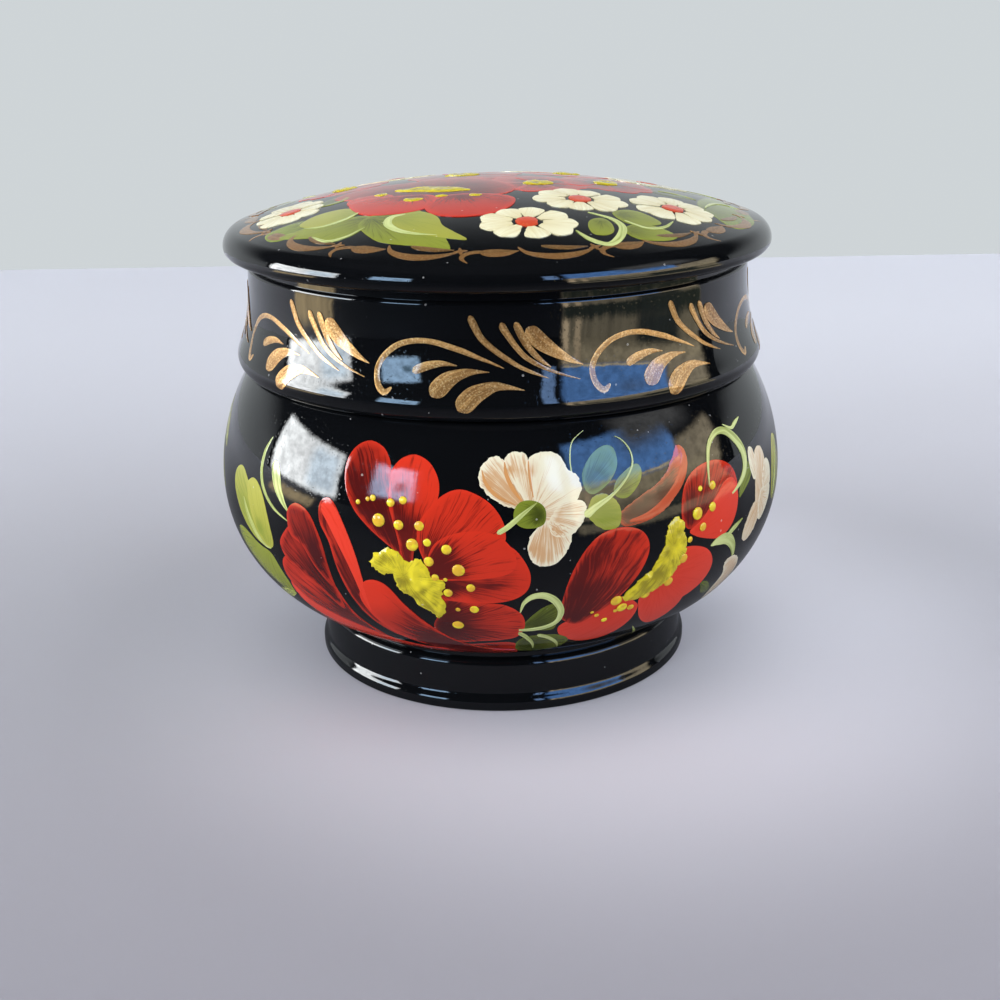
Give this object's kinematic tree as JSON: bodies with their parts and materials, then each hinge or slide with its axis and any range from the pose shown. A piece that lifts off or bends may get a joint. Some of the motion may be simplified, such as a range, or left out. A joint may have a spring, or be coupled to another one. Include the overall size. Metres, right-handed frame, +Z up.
{
  "type": "lidded trinket box",
  "caption": "Round turned wooden trinket box in black gloss lacquer: a pot-bellied bowl on a short foot, and a shallow domed lid with a waisted band that lifts off a collar.",
  "frame": {"origin": "centre of the foot's underside, where the box stands", "axes": "+Z up along the axis that both pieces are turned on; -Y is the side that the picture shows"},
  "size_m": [0.076, 0.076, 0.0643],
  "materials": {
    "black_lacquer": "turned wood in black lacquer, painted with flowers and gold strokes, under a clear gloss coat"
  },
  "bodies": {
    "bowl": {"bowl": "black_lacquer"},
    "lid": {"lid": "black_lacquer"}
  },
  "joints": [
    {"name": "lid_lift", "type": "slide", "parent": "bowl", "child": "lid", "axis": [0, 0, 1], "range_m": [0, 0.04]}
  ]
}
